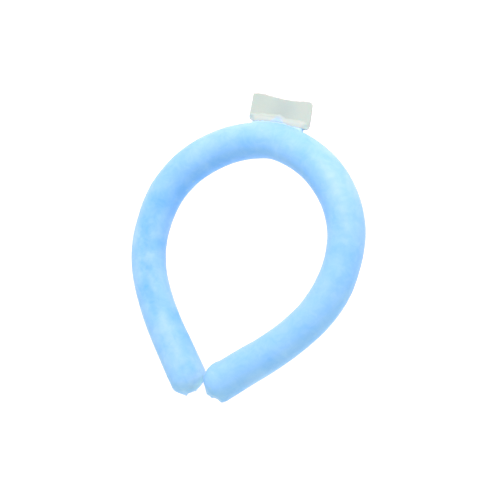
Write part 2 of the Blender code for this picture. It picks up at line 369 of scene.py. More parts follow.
# %% Creases and pinches in the film
MARKS = (
    # x, y, z in mm, heading in degrees, length, width, lift in mm, tint
    # creases on top
    (-57.5, 38.7, 22.6, -12, 7.0, 1.1, 0.16, -0.25),
    (-57.2, 37.0, 22.5, -12, 6.0, 1.0, -0.18, 0.10),
    (-21.3, -65.6, 19.8, -18, 5.0, 0.9, -0.16, 0.10),
    (-17.3, -66.2, 17.2, 2, 4.0, 0.9, -0.14, 0.10),
    (-23.1, -65.0, 20.6, 0, 1.2, 1.0, 0.20, -0.60),
    (12.4, 59.9, 20.6, 6, 7.0, 0.9, 0.12, -0.25),
    (19.0, 59.0, 21.2, -32, 7.0, 0.9, 0.12, -0.25),
    (1.5, 62.5, 21.2, 96, 11.0, 0.9, 0.10, -0.30),
    (1.4, 71.2, 22.2, 35, 4.0, 0.9, -0.14, 0.15),
    (0.9, 67.6, 22.6, 0, 1.0, 1.0, 0.15, -0.50),
    (-62.9, -8.3, 21.8, -38, 6.0, 1.3, -0.16, 0.05),
    (-63.0, -16.0, 22.1, 70, 4.5, 1.2, -0.14, 0.05),
    (-56.2, -28.0, 21.6, 62, 6.0, 1.3, -0.14, 0.05),
    (-51.8, -38.5, 21.6, 58, 5.0, 1.2, -0.12, 0.05),
    (65.0, 25.5, 22.8, 20, 12.0, 1.6, -0.14, 0.05),
    (74.0, 10.6, 19.6, 12, 8.0, 1.4, -0.16, 0.10),
    (31.5, -77.0, 18.2, 25, 4.0, 1.4, 0.14, -0.30),
    # pinches on the sides of the tube
    (-32.5, 45.4, 13.6, 90, 2.4, 0.9, -0.20, 0.75),
    (-45.7, 33.0, 13.4, 60, 2.0, 0.9, -0.20, 0.75),
    (-49.5, 27.0, 11.5, 60, 1.8, 0.9, -0.20, 0.70),
    (-55.4, 6.5, 10.5, 10, 2.4, 0.9, -0.22, 0.70),
    (-29.5, 48.0, 15.4, 40, 3.0, 1.0, 0.15, -0.50),
    (76.8, 15.2, 14.1, 0, 3.0, 0.9, -0.18, 0.60),
    (75.7, -16.5, 13.2, 0, 2.2, 0.9, -0.20, 0.65),
    (73.8, -22.4, 13.7, 0, 2.4, 0.9, -0.20, 0.65),
    (64.3, -41.2, 14.5, -30, 2.4, 0.9, -0.20, 0.60),
    (60.3, -47.9, 12.6, -40, 2.4, 0.9, -0.20, 0.60),
    # specks at the ends
    (11.3, -88.7, 21.8, 20, 1.8, 0.9, -0.18, 0.80),
    (13.5, -92.6, 18.0, 0, 1.8, 0.9, -0.18, 0.80),
    (-30.4, -73.8, 20.7, 0, 0.9, 0.8, 0.12, 1.00),
    # the swelling where the right arm meets its end
    (7.6, -75.0, 16.2, 43, 5.0, 5.0, 0.70, 0.00),
    # small tucks round the filling neck, and under the ring
    (-15.5, 76.0, 17.5, 70, 6.0, 1.1, -0.20, 0.05),
    (-6.0, 77.0, 17.2, 84, 5.0, 1.1, -0.16, 0.05),
    (8.0, 77.0, 17.2, 98, 5.0, 1.1, -0.16, 0.05),
    (15.5, 76.0, 17.5, 112, 6.0, 1.1, -0.20, 0.05),
    (-15.5, 76.0, 5.5, 70, 6.0, 1.1, -0.20, 0.05),
    (15.5, 76.0, 5.5, 112, 6.0, 1.1, -0.20, 0.05),
    (-45.0, 50.0, 1.5, 40, 9.0, 1.5, -0.16, 0.05),
    (66.0, -20.0, 2.0, 70, 9.0, 1.5, -0.16, 0.05),
)


def mark_rows():
    rows = []
    for x, y, z, heading, length, width, lift, tint in MARKS:
        angle = math.radians(heading)
        way = Vector((math.cos(angle), math.sin(angle), 0))
        rows.append((Vector((x, y, z)) * MM, way, length * MM / 2, width * MM / 2, lift * MM, tint))
    return rows


MARK_ROWS = mark_rows()
MARK_REACH = 0.012
MARK_DEPTH = 0.008
MARK_FULL = 0.6
MARK_FADE = 0.5


def marked(place):
    """How far the marks lift the film at a place, and how much greyer they make it."""
    lifted, tinted = 0.0, 0.0
    for spot, way, half_length, half_width, lift, tint in MARK_ROWS:
        apart = place - spot
        if abs(apart.x) > MARK_REACH or abs(apart.y) > MARK_REACH or abs(apart.z) > MARK_DEPTH:
            continue
        along = apart.dot(way)
        beyond = max(0.0, abs(along) - half_length * MARK_FULL) / (half_length * MARK_FADE)
        off = (apart - way * along).length / half_width
        nearness = math.exp(-off * off - beyond * beyond)
        lifted += lift * nearness
        tinted += tint * nearness
    return lifted, tinted


print(len(MARK_ROWS), "creases and pinches")

# %% [markdown]
# Now the tube's sections. Each is a ring of points round the line. A few of its sides, which look straight
# out of the ring, are left open at the back, and the neck is drawn out of that opening. A tube of gel also
# settles on what it lies on, so its lowest side is pressed flat, a few millimetres wide.

# %% Sections of the tube
SIDES = 60
NECK_SIDES = 4
ARM_STEPS = 136
NECK_STEPS = 24
END_STEPS = 11
NECK_ROWS = 4
NECK_WIDTH = 0.0356
NECK_FLARE = 0.0007
FILM_WALL = 0.001
GEL_CLEARANCE = 0.0003
TONGUE_THICKNESS = 0.0016
SETTLING = 0.0004
HALVINGS = 40


def turns_round(sides, open_sides, half_open):
    opening = even_steps(-half_open, half_open, open_sides)
    rest = even_steps(half_open, 2 * math.pi - half_open, sides - open_sides)
    return opening + rest[1:-1]


def half_mouth(inset):
    return TONGUE_THICKNESS / 2 + FILM_WALL + GEL_CLEARANCE - inset


def mouth_half_height(x, inset):
    """Half the height of the mouth at x, for a mouth with round sides."""
    beyond = max(0.0, abs(x) - (NECK_WIDTH / 2 - half_mouth(0.0)))
    return math.sqrt(max(0.0, half_mouth(inset) ** 2 - beyond**2))


def open_angle(inset):
    return math.asin((half_mouth(inset) + NECK_FLARE) / (BACK_RADIUS - inset))


def settled(place, radius):
    if place.z < radius:
        place.z = radius - (radius - max(place.z, SETTLING)) * radius / (radius - SETTLING)
    return place


def tube_section(distance, turns, inset):
    point, outward, radius = station(distance)
    centre = point + UP * radius
    corners = []
    for turn in turns:
        around = outward * math.cos(turn) + UP * math.sin(turn)
        place = centre + around * (radius - inset)
        lift, tint = marked(place) if inset == 0 else (0.0, 0.0)
        if inset == 0:
            place += around * (waved(place) + lift)
        corners.append((settled(place, radius), tint))
    return corners


def end_section(side, step, steps, turns, inset):
    _, base, radius = PATHS[side][-1]
    forward = end_heading(side)
    outward = UP.cross(forward * side).normalized()
    centre = base + UP * radius
    slope = step / steps * math.pi / 2
    corners = []
    for turn in turns:
        around = outward * math.cos(turn) + UP * math.sin(turn)
        film = centre + forward * END_DEPTH * math.sin(slope) + around * radius * math.cos(slope)
        skin = forward * (END_DEPTH - inset) * math.sin(slope) + around * (radius - inset) * math.cos(slope)
        place = centre + skin + gathered(side, forward, outward, centre, film)
        lift, tint = marked(film) if inset == 0 else (0.0, 0.0)
        if inset == 0:
            place += (around * math.cos(slope) + forward * math.sin(slope)) * (waved(film) + lift)
        corners.append((settled(place, radius), tint))
    return corners


def neck_edge(inset):
    low, high = 0.0, PATHS[1][-1][0] / 2
    for _ in range(HALVINGS):
        middle = (low + high) / 2
        point, outward, radius = station(middle)
        reached = point.x + outward.x * (radius - inset)
        if reached < NECK_WIDTH / 2 - inset + NECK_FLARE:
            low = middle
        else:
            high = middle
    return low


print("the neck spreads over", round(neck_edge(0.0) * 2000, 1), "mm of the line")

# %% [markdown]
# The skin of the tube is one mesh: both rounded ends, both arms, and the back with its open side, from
# which rows of faces curve out to the mouth of the neck. One function makes it at any fineness and moved in
# by any amount, so it serves for the film's outside, the film's inside and the gel. Each corner also
# remembers how grey and how pale the film is there, which the finish reads. The paleness rises up the neck,
# and is partly painted light, which lifts the shade in the fold where the neck leaves the tube.

# %% The skin and its neck
LAYERS = ("grey", "pale")


def new_corner(bm, layers, corner):
    place, *values = corner
    made = bm.verts.new(place)
    for layer, value in zip(layers, values):
        made[layer] = value
    return made


def mouth_loop(inset, x_count, z_count):
    half_x, half_z = NECK_WIDTH / 2 - inset, half_mouth(inset)
    columns = even_steps(-half_x, half_x, x_count)
    heights = even_steps(-half_z, half_z, z_count)
    flat = [(x, -half_z) for x in columns]
    flat += [(half_x, z) for z in heights[1:]]
    flat += [(x, half_z) for x in reversed(columns[:-1])]
    flat += [(-half_x, z) for z in reversed(heights[1:-1])]
    loop = []
    for x, z in flat:
        beyond = abs(x) - (half_x - half_z)
        if beyond > 0:
            shrink = half_z / math.hypot(beyond, z)
            x, z = math.copysign(half_x - half_z + beyond * shrink, x), z * shrink
        loop.append(Vector((x, sleeve_high.y, BACK_RADIUS + z)))
    return loop


def join_loops(bm, lower, upper):
    for k in range(len(lower)):
        after = (k + 1) % len(lower)
        bm.faces.new((lower[k], lower[after], upper[after], upper[k]))


def add_neck(bm, layers, loop, mouth_places, rows):
    lower = loop
    for row in range(1, rows + 1):
        share = row / rows
        upper = []
        for corner, mouth in zip(loop, mouth_places):
            bend = Vector((mouth.x, corner.co.y, mouth.z))
            near = corner.co.lerp(bend, share)
            place = near.lerp(bend.lerp(mouth, share), share)
            # the paleness rising up the neck, partly painted light over the shade in its fold
            upper.append(new_corner(bm, layers, (place, 0.0, share)))
        join_loops(bm, lower, upper)
        lower = upper
    return lower


def add_skin(bm, layers, inset, fineness):
    """Adds one skin and returns the loop of corners round its mouth."""
    sides, open_sides = SIDES * fineness, NECK_SIDES * fineness
    arm_steps, neck_steps, end_steps = ARM_STEPS * fineness, NECK_STEPS * fineness, END_STEPS * fineness
    turns = turns_round(sides, open_sides, open_angle(inset))
    edge = neck_edge(inset)
    left, right = PATHS[-1][-1][0], PATHS[1][-1][0]
    distances = even_steps(-left, -edge, arm_steps)[:-1] + even_steps(-edge, edge, neck_steps)
    distances += even_steps(edge, right, arm_steps)[1:]
    sections = [end_section(-1, i, end_steps, turns, inset) for i in range(end_steps - 1, 0, -1)]
    sections += [tube_section(distance, turns, inset) for distance in distances]
    sections += [end_section(1, i, end_steps, turns, inset) for i in range(1, end_steps)]
    rings = [[new_corner(bm, layers, corner) for corner in section] for section in sections]
    first = end_steps - 1 + arm_steps
    for i in range(len(rings) - 1):
        start = open_sides if first <= i < first + neck_steps else 0
        for k in range(start, sides):
            after = (k + 1) % sides
            bm.faces.new((rings[i][k], rings[i][after], rings[i + 1][after], rings[i + 1][k]))
    for side, ring in ((-1, rings[0]), (1, rings[-1])):
        tip = new_corner(bm, layers, end_section(side, 1, 1, [0.0], inset)[0])
        for k in range(sides):
            bm.faces.new((ring[k], ring[(k + 1) % sides], tip))
    back = rings[first : first + neck_steps + 1]
    loop = [ring[0] for ring in back] + back[-1][1 : open_sides + 1]
    loop += [ring[open_sides] for ring in reversed(back[:-1])] + back[0][open_sides - 1 : 0 : -1]
    return add_neck(bm, layers, loop, mouth_loop(inset, neck_steps, open_sides), NECK_ROWS * fineness)


def as_piece(name, bm):
    bmesh.ops.recalc_face_normals(bm, faces=bm.faces)
    mesh = bpy.data.meshes.new(name)
    bm.to_mesh(mesh)
    bm.free()
    mesh.shade_smooth()
    mesh.calc_loop_triangles()
    piece = bpy.data.objects.new(name, mesh)
    bpy.context.scene.collection.objects.link(piece)
    print(name, "has", len(mesh.loop_triangles), "triangles")
    return piece


# %% [markdown]
# The film itself is a sheet about a millimetre thick. A Solidify modifier could give it its wall, but would
# make its hidden inside as fine as its outside. So the outside is built finely and the inside coarsely, and
# a strip of triangles joins the two round the mouth of the neck: two fine edges to each coarse one.

# %% The film sleeve
def make_film():
    bm = bmesh.new()
    layers = [bm.verts.layers.float.new(name) for name in LAYERS]
    outer = add_skin(bm, layers, 0.0, 2)
    inner = add_skin(bm, layers, FILM_WALL, 1)
    for k in range(len(inner)):
        near, middle, far = outer[2 * k], outer[2 * k + 1], outer[(2 * k + 2) % len(outer)]
        after = inner[(k + 1) % len(inner)]
        for corners in ((near, middle, inner[k]), (middle, after, inner[k]), (middle, far, after)):
            bm.faces.new(corners)
    return as_piece("film", bm)


film = make_film()
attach(film, "root")
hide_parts("film_sleeve")

# %% [markdown]
# The gel fills the film right into the neck. It is the same skin, moved in, with its mouth closed by one
# flat face. The milky film hides it, so it can be coarse.

# %% The gel inside
def make_gel():
    bm = bmesh.new()
    layers = [bm.verts.layers.float.new(name) for name in LAYERS]
    bm.faces.new(add_skin(bm, layers, FILM_WALL + GEL_CLEARANCE, 1))
    return as_piece("gel", bm)


gel = make_gel()
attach(gel, "root")
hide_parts("coolant_gel")

# %% [markdown]
# The flap is the end of the filling neck, pressed flat and welded. It was cut by hand, so it leans a
# little, its top edge dips and its corners are round, each in its own way. Along its root the weld left a
# thicker band, and a thin lip of clear film that laps over the neck with a ragged edge. A cube with a Bevel
# would have the corners but not the dip or the lip, so the flap is a grid of columns and rows, laid out
# twice for its two faces.

# %% The outline of the sealing flap
FLAP_COLUMNS = 120
FLAP_ROWS = 44
FLAP_WIDTH = 0.0420
ROOT_SPREAD = 0.0009
FLAP_LEAN = 0.0023
LEAN_PIVOT = 0.16
FLAP_BELLY = 0.0003
CROWDING = 0.35
CORNERS = {"low left": 0.0018, "low right": 0.0018, "high left": 0.0013, "high right": 0.0022}
TOP_DIP = (
    # share of the width, dip in mm
    (0.0, -0.1),
    (0.1, -0.55),
    (0.2, -0.4),
    (0.3, 0.15),
    (0.42, 0.55),
    (0.55, 0.95),
    (0.7, 0.95),
    (0.8, 0.65),
    (0.9, 0.1),
    (1.0, 0.1),
)
LIP = (
    # x, how far the lip laps over the neck, in mm
    (-21.0, 0.9),
    (-19.0, 0.95),
    (-17.5, 1.6),
    (-16.0, 2.0),
    (-14.0, 1.75),
    (-12.0, 1.45),
    (-8.0, 0.8),
    (-5.0, 0.4),
    (5.0, 0.4),
    (6.0, 0.65),
    (7.0, 1.05),
    (10.0, 1.55),
    (12.0, 1.8),
    (21.0, 1.9),
)
LIP_RAGS = (
    # height in metres, waves across, place up, layer of the noise
    (0.0004, 900, 0.4, 5.3),
    (0.0004, 350, 2.4, 1.3),
)
LEAST_LIP = 0.00005
LIP_FADE = 4

flap_height = tab_high.y - tab_low.y
flap_middle = (tab_high.z + tab_low.z) / 2


def from_table(rows, value):
    """The value between the rows of a table, eased, so that no corner shows."""
    if value <= rows[0][0]:
        return rows[0][1]
    for (low, first), (high, second) in zip(rows, rows[1:]):
        if value <= high:
            share = (value - low) / (high - low)
            return first + (second - first) * share * share * (3 - 2 * share)
    return rows[-1][1]


def uneven(rows, x, height):
    """The noises of a table, added up at one place of the flap."""
    found = 0.0
    for size, across, up, layer in rows:
        found += size * noise.noise(Vector((x * across, height * up, layer)))
    return found


def lip_reach(x):
    reach = from_table(LIP, x / MM) * MM
    return max(LEAST_LIP, reach + uneven(LIP_RAGS, x, 1.0) * min(1.0, reach / MM))


def corner_inset(height, left):
    """How far the side edge draws in at a height, for the round corners."""
    low = height < flap_height / 2
    radius = CORNERS[("low " if low else "high ") + ("left" if left else "right")]
    from_edge = max(0.0, height if low else flap_height - height)
    if from_edge >= radius:
        return 0.0
    return radius - math.sqrt(max(0.0, radius**2 - (radius - from_edge) ** 2))


def crowded(i, count):
    """Steps that stand closer together near both ends."""
    eased = 0.5 - 0.5 * math.cos(math.pi * i / count)
    return CROWDING * eased + (1 - CROWDING) * i / count


def flap_point(column, row):
    share, rise = crowded(column, FLAP_COLUMNS), crowded(row, FLAP_ROWS)
    height = rise * flap_height
    half_width = (FLAP_WIDTH + ROOT_SPREAD * (1 - rise)) / 2
    low_x = corner_inset(height, True) - half_width
    high_x = half_width - corner_inset(height, False)
    x = low_x + (high_x - low_x) * share + FLAP_LEAN * (LEAN_PIVOT - rise)
    x += FLAP_BELLY * share * math.sin(math.pi * rise)
    height -= lip_reach(x) * (1 - rise) ** LIP_FADE
    y = tab_low.y + height - from_table(TOP_DIP, share) * MM * rise
    return x, y, height, min(share, 1 - share) * FLAP_WIDTH


print("flap:", round(FLAP_WIDTH * 1000, 1), "by", round(flap_height * 1000, 1), "mm")

# %% [markdown]
# The weld shows as a paler band along the root, and a little gel was caught in it: it rises in the band as
# a blue peak. Both borders are soft and ragged. Each corner of the grid keeps how much weld and how much
# gel it has, and the finish reads them. The weld also makes the flap thicker, so one rule serves for both.

# %% The weld and the gel caught in it
WELD_TOP = (
    # x, height of the weld's upper border, in mm
    (-20.5, 2.5),
    (-10.0, 3.6),
    (-1.0, 4.5),
    (2.0, 3.7),
    (4.5, 2.9),
    (14.0, 2.9),
    (17.0, 2.4),
    (21.0, 0.8),
)
GEL_TOP = (
    # x, height of the gel's border, in mm
    (-6.0, -3.0),
    (-3.8, 0.1),
    (-1.0, 2.4),
    (1.0, 2.0),
    (3.0, 0.9),
    (6.0, -3.0),
)
WELD_RAGS = (
    # height in mm, waves across, waves up, layer of the noise
    (0.5, 260, 90, 3.1),
    (0.3, 900, 300, 8.1),
)
GEL_RAGS = ((0.5, 500, 500, 6.6),)
# each pair is a distance in mm and a share
GEL_EDGE = ((-0.3, 1.0), (0.5, 0.0))
GEL_HAZE = 0.35
HAZE_ACROSS = ((-5.0, 0.0), (-2.5, 1.0), (2.5, 1.0), (5.0, 0.0))
HAZE_UP = ((0.0, 1.0), (2.8, 0.0))


def weld_share(x, height, softness):
    above = height / MM - from_table(WELD_TOP, x / MM) - uneven(WELD_RAGS, x, height)
    return from_table(((-softness, 1.0), (softness, 0.0)), above)


def gel_share(x, height):
    above = height / MM - from_table(GEL_TOP, x / MM) - uneven(GEL_RAGS, x, height)
    haze = GEL_HAZE * from_table(HAZE_ACROSS, x / MM) * from_table(HAZE_UP, above)
    return max(haze, from_table(GEL_EDGE, above))


print("the gel's peak:", GEL_TOP[2][1], "mm above the root")

# %% [markdown]
# Last comes the flap's thickness: thin in the field, thick in the weld, and just thicker than the neck
# where the lip laps over it. The lip is hollow, so that the neck fits in it like a drawer.

# %% The sealing flap
FLAP_THICKNESS = 0.0016
WELD_THICKNESS = 0.0034
LIP_THICKNESS = 0.00014
CORNER_THICKNESS = 0.0006
LIP_CLEARANCE = 0.00013
ROOT_REACH = 0.00015
LIP_HOLLOW = 0.9
FLAP_BOW = 0.0003
BOW_TURNS = 1.6
BOW_START = 0.4
EDGE_ROUND = 0.0006
LEAST_ROUND = 0.02
WELD_SLOPE = 0.8
WELD_BORDER = 0.4
# each pair is a distance in mm and a share
WELD_ENDS = ((0.0, 0.2), (3.0, 1.0))
OVER_NECK = ((15.9, 1.0), (20.8, 0.0))
LIP_SLOPE = ((0.0, 1.0), (2.4, 0.0))
# height in metres, waves across, waves up, layer of the noise
FLAP_DIMPLES = ((0.00006, 190, 190, 1.7),)
WELD_DIMPLES = ((0.00005, 520, 520, 4.7),)


def rounding(from_edge, reach):
    if from_edge >= reach:
        return 1.0
    return math.sqrt(max(LEAST_ROUND, 1 - (1 - from_edge / reach) ** 2))


def flap_half_thickness(x, height, from_side):
    weld = weld_share(x, height, WELD_SLOPE) * from_table(WELD_ENDS, from_side / MM)
    half = (FLAP_THICKNESS + (WELD_THICKNESS - FLAP_THICKNESS) * weld) / 2
    lip = CORNER_THICKNESS / 2
    lip += (half_mouth(0.0) + LIP_CLEARANCE + LIP_THICKNESS - lip) * from_table(OVER_NECK, abs(x) / MM)
    half += (lip - half) * from_table(LIP_SLOPE, height / MM)
    dimple = uneven(FLAP_DIMPLES, x, height) + uneven(WELD_DIMPLES, x, height) * weld
    return half * rounding(min(from_side, flap_height - height), EDGE_ROUND) + dimple


def flap_side(bm, layers, side):
    """One face of the flap, as rows of corners from the lip's inside, over its edge, to the top edge."""
    grid = []
    for row in range(FLAP_ROWS + 1):
        line = []
        for column in range(FLAP_COLUMNS + 1):
            x, y, height, from_side = flap_point(column, row)
            wave = math.sin(math.pi * column / FLAP_COLUMNS * BOW_TURNS + BOW_START)
            bow = FLAP_BOW * wave * max(0.0, height / flap_height) ** 2
            half = flap_half_thickness(x, height, from_side)
            place = (x, y, flap_middle + bow + side * half)
            weld = weld_share(x, height, WELD_BORDER)
            line.append(new_corner(bm, layers, (place, weld, gel_share(x, height))))
        grid.append(line)
    edge = grid[0]
    for reach in (0.0, 1.0):
        line = []
        for corner in edge:
            x, y, z = corner.co
            inside = min(mouth_half_height(x, 0.0) + LIP_CLEARANCE, abs(z - flap_middle) * LIP_HOLLOW)
            y += (max(tab_low.y - ROOT_REACH, y) - y) * reach
            place = (x, y, flap_middle + side * inside)
            line.append(new_corner(bm, layers, (place, 1.0, corner[layers[1]])))
        grid.insert(0, line)
    for low, high in zip(grid, grid[1:]):
        for i in range(FLAP_COLUMNS):
            bm.faces.new((low[i], low[i + 1], high[i + 1], high[i]))
    rim = grid[0] + [line[-1] for line in grid[1:]]
    return rim + grid[-1][-2::-1] + [line[0] for line in grid[-2:0:-1]]


def make_flap():
    bm = bmesh.new()
    layers = [bm.verts.layers.float.new(name) for name in ("weld", "gel")]
    join_loops(bm, flap_side(bm, layers, -1), flap_side(bm, layers, 1))
    return as_piece("flap", bm)


flap = make_flap()
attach(flap, "root")
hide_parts("sealing_tab")

# %% [markdown]
# Every finish is a small tree of shader nodes. A few helpers keep the trees short to write: one adds a node
# with its settings, one makes clouds, one remaps a value, one mixes two colours, and one sets the plain
# sockets.

# %% Helpers for the finishes
NOISE_LOW = 0.30
NOISE_HIGH = 0.70


def new_finish(name):
    material = bpy.data.materials.new(name)
    material.use_nodes = True
    tree = material.node_tree
    return material, tree, tree.nodes["Principled BSDF"]


def add_node(tree, kind, inputs=None, **settings):
    node = tree.nodes.new(kind)
    for name, value in settings.items():
        setattr(node, name, value)
    for name, value in (inputs or {}).items():
        node.inputs[name].default_value = value
    return node


def cloud(tree, scale, detail=3.0, roughness=0.5, distortion=0.0):
    """Noise in the ring's own space, so that it has no seam and no direction."""
    place = add_node(tree, "ShaderNodeTexCoord")
    values = {"Scale": scale, "Detail": detail, "Roughness": roughness, "Distortion": distortion}
    node = add_node(tree, "ShaderNodeTexNoise", values)
    tree.links.new(place.outputs["Object"], node.inputs["Vector"])
    return node.outputs["Fac"]


def remap(tree, value, low, high, to_low, to_high):
    node = add_node(tree, "ShaderNodeMapRange", clamp=True, interpolation_type="SMOOTHSTEP")
    for name, number in zip(("From Min", "From Max", "To Min", "To Max"), (low, high, to_low, to_high)):
        node.inputs[name].default_value = number
    tree.links.new(value, node.inputs["Value"])
    return node.outputs["Result"]


def drift(tree, clouds, low, high):
    """A value that drifts between two limits. Blender's noise lies mostly between 0.3 and 0.7."""
    return remap(tree, cloud(tree, *clouds), NOISE_LOW, NOISE_HIGH, low, high)


def calculate(tree, operation, *values):
    node = add_node(tree, "ShaderNodeMath", operation=operation)
    for socket, value in zip(node.inputs, values):
        if isinstance(value, (int, float)):
            socket.default_value = value
        else:
            tree.links.new(value, socket)
    return node.outputs["Value"]


def total(tree, values):
    result = values[0]
    for value in values[1:]:
        result = calculate(tree, "ADD", result, value)
    return result


def blend_colours(tree, share, first, second):
    node = add_node(tree, "ShaderNodeMix", data_type="RGBA")
    factor = [socket for socket in node.inputs if socket.type == "VALUE"][0]
    colour_a, colour_b = [socket for socket in node.inputs if socket.type == "RGBA"]
    tree.links.new(share, factor)
    for socket, value in ((colour_a, first), (colour_b, second)):
        if isinstance(value, tuple):
            socket.default_value = (*value, 1)
        else:
            tree.links.new(value, socket)
    return [socket for socket in node.outputs if socket.type == "RGBA"][0]


def add_bump(tree, shader, clouds, distance, strength):
    bump = add_node(tree, "ShaderNodeBump", {"Distance": distance, "Strength": strength})
    tree.links.new(cloud(tree, *clouds), bump.inputs["Height"])
    tree.links.new(bump.outputs["Normal"], shader.inputs["Normal"])


def set_shader(shader, values):
    for name, value in values.items():
        shader.inputs[name].default_value = value


print("helpers ready")

# %% [markdown]
# In the gel, the blue gathers in deeper blots on one arm, and the film looks hazier over the shoulders and
# at the ends. Some of the blots are painted shade and painted light: the deeper blots on the tube's inner
# sides are painted shade, and the hazy blots on the outer sides of the arms and between the two ends are
# painted light. Such spots could be painted by hand on a picture wrapped round the tube. Here each is a
# point with a reach, and the places are first shaken by noise, so that every blot gets a ragged, cloudy
# edge.

# %% Blots of deeper blue and of haze, with painted shade and painted light among them
BLOTS_AND_PAINTED_LIGHT = (
    # x, y, z in mm, reach in mm, depth (above 0 is deeper blue, below 0 is hazier; some rows are painted
    # shade, others painted light)
    (-60.5, 14.5, 21.5, 8.0, 0.46),
    (-64.5, 0.5, 22.0, 7.0, 0.36),
    (-64.0, -8.0, 22.0, 6.0, 0.34),
    (-61.8, -15.5, 22.0, 6.5, 0.46),
    (-56.0, -28.0, 21.5, 7.0, 0.46),
    (-51.0, -38.0, 21.5, 6.5, 0.36),
    (-46.0, -44.0, 21.3, 7.5, 0.46),
    (-40.5, -50.0, 21.0, 6.0, 0.36),
    # the next seven rows are painted shade: deeper blue on the inner side of the left arm
    (-51.5, 24.0, 12.0, 9.0, 0.40),
    (-43.0, 37.0, 11.0, 9.0, 0.40),
    (-31.0, 47.5, 12.0, 9.0, 0.30),
    (-20.0, -62.0, 12.0, 8.0, 0.24),
    (-29.0, -52.0, 12.0, 8.0, 0.30),
    (-54.6, 12.2, 12.1, 7.0, 0.35),
    (-54.4, -11.4, 13.0, 8.0, 0.24),
    (-44.0, -54.9, 21.4, 5.5, 0.30),
    (-26.0, -66.3, 21.7, 6.0, 0.18),
    (-6.5, -82.3, 21.7, 6.5, 0.32),
    (28.2, 64.0, 22.8, 8.0, 0.25),
    (-12.8, 63.2, 22.3, 8.0, 0.18),
    (28.8, -70.1, 22.0, 10.0, 0.22),
    (64.2, 10.0, 22.4, 7.0, 0.18),
    # the next row is painted shade: deeper blue on the inner side of the right arm
    (52.0, 4.0, 12.0, 9.0, 0.20),
    (73.0, 9.0, 20.0, 8.0, 0.22),
    (43.0, -66.0, 21.0, 9.0, 0.15),
    (-55.0, -29.0, 22.0, 6.0, 0.22),
    (-27.0, 59.0, 22.5, 7.0, 0.12),
    (20.0, -93.0, 9.0, 7.0, 0.30),
    (66.0, 19.0, 22.5, 5.0, 0.16),
    (63.0, 28.0, 23.0, 5.0, 0.16),
    (57.0, 40.0, 23.0, 4.5, 0.12),
    (-56.0, 1.0, 14.0, 5.0, 0.20),
    (-66.0, -9.0, 20.0, 5.0, 0.18),
    (-53.0, -33.0, 21.0, 5.0, 0.12),
    (-12.0, -78.0, 22.0, 5.0, 0.14),
    (17.0, -79.0, 22.5, 5.0, 0.12),
    (63.0, -37.0, 19.5, 5.0, 0.12),
    # the next three rows are painted shade: deeper blue low on the inner side of the back
    (-18.0, 53.0, 6.0, 9.0, 0.16),
    (-5.0, 57.0, 6.0, 9.0, 0.16),
    (8.0, 56.5, 6.0, 9.0, 0.16),
    (-54.5, -21.0, 20.0, 6.0, -0.12),
    (-61.0, -1.5, 21.0, 4.0, -0.12),
    (-13.5, 57.0, 18.5, 4.0, -0.14),
    (-49.0, 44.0, 23.0, 5.0, -0.12),
    (45.0, 59.0, 21.0, 5.0, -0.12),
    # the next four rows are painted light: haze along the outer side of the left arm
    (-69.0, -12.0, 19.0, 8.0, -0.25),
    (-60.0, -32.0, 18.0, 10.0, -0.30),
    (-46.0, -55.0, 17.0, 9.0, -0.22),
    (-34.0, -69.0, 17.0, 11.0, -0.28),
    (-41.0, 53.0, 23.0, 12.0, -0.15),
    (56.0, 52.0, 17.0, 13.0, -0.12),
    (9.0, 59.0, 20.0, 9.0, -0.20),
    (69.9, 23.0, 21.5, 7.0, -0.06),
    (53.0, 39.5, 23.0, 9.0, -0.12),
    (60.3, -28.9, 22.0, 9.0, -0.15),
    (-62.5, -28.1, 21.0, 5.0, -0.15),
    # the last rows are painted light: haze over the ends, between them, and on the outer side of the right
    # arm
    (-21.0, -80.0, 19.0, 8.0, -0.30),
    (-8.1, -92.5, 20.2, 8.0, -0.35),
    (36.0, -74.0, 14.0, 13.0, -0.22),
    (56.0, -60.0, 14.0, 13.0, -0.22),
    (0.0, -86.0, 13.0, 8.0, -0.60),
)
BLOT_SPREAD = 1.35
SHAKE_NOISE = {"Detail": 4.0, "Roughness": 0.6}


def shaken_places(tree, scale, amount):
    place = add_node(tree, "ShaderNodeTexCoord")
    wobble = add_node(tree, "ShaderNodeTexNoise", {"Scale": scale, **SHAKE_NOISE})
    tree.links.new(place.outputs["Object"], wobble.inputs["Vector"])
    push = add_node(tree, "ShaderNodeVectorMath", operation="MULTIPLY_ADD")
    push.inputs[1].default_value = (amount, amount, amount)
    push.inputs[2].default_value = (-amount / 2, -amount / 2, -amount / 2)
    tree.links.new(wobble.outputs["Color"], push.inputs[0])
    shaken = add_node(tree, "ShaderNodeVectorMath", operation="ADD")
    tree.links.new(place.outputs["Object"], shaken.inputs[0])
    tree.links.new(push.outputs["Vector"], shaken.inputs[1])
    return shaken.outputs["Vector"]


def nearness(tree, places, spot, reach, strength):
    apart = add_node(tree, "ShaderNodeVectorMath", operation="DISTANCE")
    apart.inputs[1].default_value = spot
    tree.links.new(places, apart.inputs[0])
    return remap(tree, apart.outputs["Value"], 0.0, reach, strength, 0.0)


def blots_and_painted_light(tree, places):
    found = []
    for x, y, z, reach, depth_and_painted_light in BLOTS_AND_PAINTED_LIGHT:
        spot = (x * MM, y * MM, z * MM)
        found.append(nearness(tree, places, spot, reach * MM * BLOT_SPREAD, depth_and_painted_light))
    return total(tree, found)


print(len(BLOTS_AND_PAINTED_LIGHT), "blots_and_painted_light")

# %% [markdown]
# The film is satin and milky, with the blue gel glowing through it. A glass tube with a blue liquid in it
# would be truer, but slow and noisy. So the film carries the gel's colour, light goes a few millimetres
# into it, and soft clouds of thicker and thinner blue drift through it. It is greyer at the ends, where the
# weld holds no gel. It is paler in the thin neck, and there the paleness is partly painted light, which
# lifts the shade in the fold where the neck leaves the tube. Where the two ends touch, the film is painted
# paler: painted light for the light that each end throws on the other.

